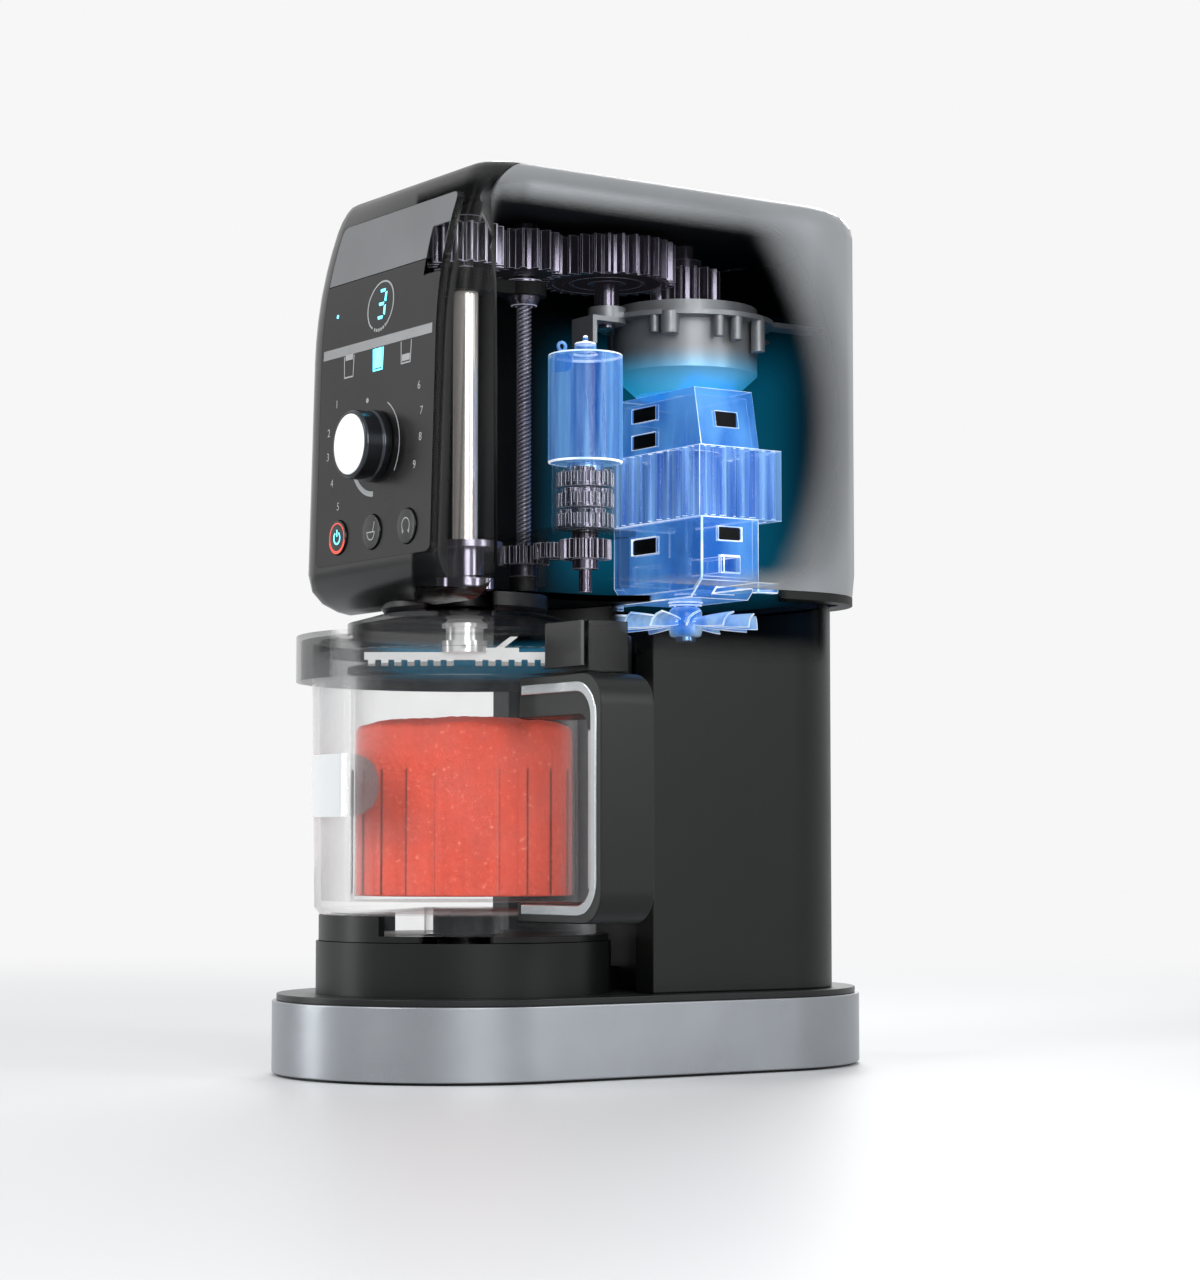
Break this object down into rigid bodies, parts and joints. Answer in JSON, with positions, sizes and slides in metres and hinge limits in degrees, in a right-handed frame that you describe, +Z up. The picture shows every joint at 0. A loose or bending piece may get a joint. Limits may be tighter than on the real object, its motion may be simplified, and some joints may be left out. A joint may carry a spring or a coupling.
{
  "type": "ice cream maker",
  "caption": "Frozen-dessert maker: oval base, pillar with a motor head, gear-driven spindle and screw-fed paddle over a clear lidded bowl with a tub and a side handle.",
  "frame": {"origin": "centre of the base's underside, on the table", "axes": "-Y is the front with the control panel, +X the machine's right with the bowl's handle, +Z up; the bowl and the spindle stand on the line x 0, y -0.060 m"},
  "size_m": [0.2138, 0.295, 0.4055],
  "materials": {
    "band_silver": "satin silver",
    "deck_dark": "satin dark grey",
    "black_plastic": "matt black",
    "pad_rubber": "matt",
    "cover_silver": "satin silver",
    "frame_grey": "satin dark grey",
    "fascia_silver": "brushed",
    "panel_black": "gloss black",
    "display_glass": "dark window",
    "board_green": "matt",
    "dial_grey": "dark anodised",
    "cap_white": "gloss white",
    "key_black": "gloss",
    "gear_steel": "dark steel",
    "pinion_steel": "steel",
    "cup_metal": "die cast",
    "stator_iron": "laminated steel",
    "bracket_blue": "satin",
    "brush_brass": "bright",
    "rotor_steel": "steel",
    "fan_plastic": "gloss",
    "screw_steel": "dark steel",
    "idler_nylon": "nylon",
    "reducer_clear": "clear plastic",
    "motor_can": "grey",
    "carriage_dark": "dark",
    "nut_brass": "machined",
    "spindle_chrome": "polished",
    "paddle_black": "satin black",
    "bowl_clear": "clear plastic",
    "dessert_red": "frozen",
    "lid_smoke": "smoky plastic",
    "latch_dark": "matt",
    "handle_dark": "satin black",
    "strip_clear": "bright"
  },
  "bodies": {
    "frame": {"base_band": "band_silver", "base_deck": "deck_dark", "base_underplate": "black_plastic", "base_pads": "pad_rubber", "pedestal": "deck_dark", "pillar_shell": "black_plastic", "rear_vent_panel": "black_plastic", "cord_gland": "black_plastic", "head_cover": "cover_silver", "front_frame": "frame_grey", "head_floor": "black_plastic", "lid_socket": "black_plastic", "fascia_plate": "fascia_silver", "control_panel": "panel_black", "display_window": "display_glass", "control_board": "board_green", "inner_liner": "black_plastic", "train_plate": "pinion_steel", "wheel_axle": "pinion_steel", "ring_gear": "pinion_steel", "gearbox_cup": "cup_metal", "stator": "stator_iron", "upper_bracket": "bracket_blue", "lower_bracket": "bracket_blue", "brush_holders": "brush_brass", "lift_reducer": "reducer_clear", "lift_motor": "motor_can", "lift_gear_plate": "pinion_steel", "spindle_guide": "black_plastic"},
    "platform": {"platform": "deck_dark"},
    "release_button": {"release_button": "black_plastic"},
    "bowl": {"bowl": "bowl_clear", "tub": "bowl_clear", "frozen_dessert": "dessert_red", "lid": "lid_smoke", "handle": "handle_dark", "handle_strip": "strip_clear"},
    "lid_latch_button": {"lid_latch_button": "latch_dark"},
    "dial": {"dial_ring": "dial_grey"},
    "dial_cap": {"dial_cap": "cap_white"},
    "power_key": {"power_key": "key_black"},
    "mode_key": {"mode_key": "key_black"},
    "repeat_key": {"repeat_key": "key_black"},
    "rotor": {"rotor": "rotor_steel", "sun_pinion": "pinion_steel", "cooling_fan": "fan_plastic"},
    "carrier": {"output_carrier": "gear_steel"},
    "planet_a": {"planet_a": "pinion_steel"},
    "planet_b": {"planet_b": "pinion_steel"},
    "planet_c": {"planet_c": "pinion_steel"},
    "wheel_idler": {"wheel_idler": "gear_steel"},
    "screw_idler": {"screw_idler": "gear_steel"},
    "spindle_gear": {"spindle_gear": "gear_steel"},
    "lead_screw": {"lead_screw": "screw_steel"},
    "lift_idler": {"lift_idler": "idler_nylon"},
    "lift_output": {"lift_output": "idler_nylon"},
    "carriage": {"feed_carriage": "carriage_dark", "feed_nut": "nut_brass"},
    "spindle": {"spindle": "spindle_chrome", "paddle": "paddle_black"}
  },
  "joints": [
    {"name": "motor_spin", "type": "hinge", "parent": "frame", "child": "rotor", "pos_m": [0, 0.065, 0.28], "axis": [0, 0, 1], "continuous": true},
    {"name": "carrier_spin", "type": "hinge", "parent": "frame", "child": "carrier", "pos_m": [0, 0.065, 0.348], "axis": [0, 0, 1], "continuous": true},
    {"name": "planet_a_spin", "type": "hinge", "parent": "carrier", "child": "planet_a", "pos_m": [0.01688, 0.065, 0.338], "axis": [0, 0, 1], "continuous": true},
    {"name": "planet_b_spin", "type": "hinge", "parent": "carrier", "child": "planet_b", "pos_m": [-0.00844, 0.07961, 0.338], "axis": [0, 0, 1], "continuous": true},
    {"name": "planet_c_spin", "type": "hinge", "parent": "carrier", "child": "planet_c", "pos_m": [-0.00844, 0.05039, 0.338], "axis": [0, 0, 1], "continuous": true},
    {"name": "wheel_spin", "type": "hinge", "parent": "frame", "child": "wheel_idler", "pos_m": [0, 0.019, 0.38], "axis": [0, 0, 1], "continuous": true},
    {"name": "screw_idler_spin", "type": "hinge", "parent": "frame", "child": "screw_idler", "pos_m": [0, -0.028, 0.38], "axis": [0, 0, 1], "continuous": true},
    {"name": "spindle_gear_spin", "type": "hinge", "parent": "frame", "child": "spindle_gear", "pos_m": [0, -0.06, 0.38], "axis": [0, 0, 1], "continuous": true},
    {"name": "spindle_feed", "type": "slide", "parent": "frame", "child": "carriage", "axis": [0, 0, 1], "range_m": [-0.104, 0], "deforming": ["frozen_dessert"]},
    {"name": "spindle_spin", "type": "hinge", "parent": "carriage", "child": "spindle", "pos_m": [0, -0.06, 0.3], "axis": [0, 0, 1], "continuous": true},
    {"name": "screw_spin", "type": "hinge", "parent": "frame", "child": "lead_screw", "pos_m": [0, -0.028, 0.3], "axis": [0, 0, 1], "range_deg": [0, 4680]},
    {"name": "lift_idler_spin", "type": "hinge", "parent": "frame", "child": "lift_idler", "pos_m": [0.01897, -0.02348, 0.238], "axis": [0, 0, 1], "range_deg": [-6056.47, 0]},
    {"name": "lift_output_spin", "type": "hinge", "parent": "frame", "child": "lift_output", "pos_m": [0.03787, -0.01866, 0.238], "axis": [0, 0, 1], "range_deg": [0, 4680]},
    {"name": "bowl_twist", "type": "hinge", "parent": "platform", "child": "bowl", "pos_m": [0, -0.06, 0.07], "axis": [0, 0, 1], "range_deg": [-90, 0]},
    {"name": "platform_lift", "type": "slide", "parent": "frame", "child": "platform", "axis": [0, 0, 1], "range_m": [-0.006, 0]},
    {"name": "release_press", "type": "slide", "parent": "frame", "child": "release_button", "axis": [1, 0, 0], "range_m": [0, 0.002], "stiffness_N_per_m": 1500, "springref_m": -0.001},
    {"name": "lid_latch_press", "type": "slide", "parent": "bowl", "child": "lid_latch_button", "axis": [0, 1, 0], "range_m": [0, 0.0015], "stiffness_N_per_m": 1500, "springref_m": -0.001},
    {"name": "dial_turn", "type": "hinge", "parent": "frame", "child": "dial", "pos_m": [0.001, -0.11, 0.283], "axis": [0, 1, 0], "continuous": true},
    {"name": "dial_press", "type": "slide", "parent": "dial", "child": "dial_cap", "axis": [0, 1, 0], "range_m": [0, 0.0012], "stiffness_N_per_m": 1500, "springref_m": -0.001},
    {"name": "power_key_press", "type": "slide", "parent": "frame", "child": "power_key", "axis": [0, 1, 0], "range_m": [0, 0.0008], "stiffness_N_per_m": 1500, "springref_m": -0.001},
    {"name": "mode_key_press", "type": "slide", "parent": "frame", "child": "mode_key", "axis": [0, 1, 0], "range_m": [0, 0.0008], "stiffness_N_per_m": 1500, "springref_m": -0.001},
    {"name": "repeat_key_press", "type": "slide", "parent": "frame", "child": "repeat_key", "axis": [0, 1, 0], "range_m": [0, 0.0008], "stiffness_N_per_m": 1500, "springref_m": -0.001}
  ],
  "couplings": [
    {"joint": "carrier_spin", "follows": "motor_spin", "ratio": 0.22222},
    {"joint": "planet_a_spin", "follows": "motor_spin", "ratio": -0.62222},
    {"joint": "planet_b_spin", "follows": "motor_spin", "ratio": -0.62222},
    {"joint": "planet_c_spin", "follows": "motor_spin", "ratio": -0.62222},
    {"joint": "wheel_spin", "follows": "motor_spin", "ratio": -0.10753},
    {"joint": "screw_idler_spin", "follows": "motor_spin", "ratio": 0.20833},
    {"joint": "spindle_gear_spin", "follows": "motor_spin", "ratio": -0.20833},
    {"joint": "spindle_spin", "follows": "motor_spin", "ratio": -0.20833},
    {"joint": "screw_spin", "follows": "spindle_feed", "rad_per_m": -785.4},
    {"joint": "lift_idler_spin", "follows": "spindle_feed", "rad_per_m": 1016.4},
    {"joint": "lift_output_spin", "follows": "spindle_feed", "rad_per_m": -785.4},
    {"joint": "platform_lift", "follows": "bowl_twist", "m_per_rad": 0.0038197}
  ]
}
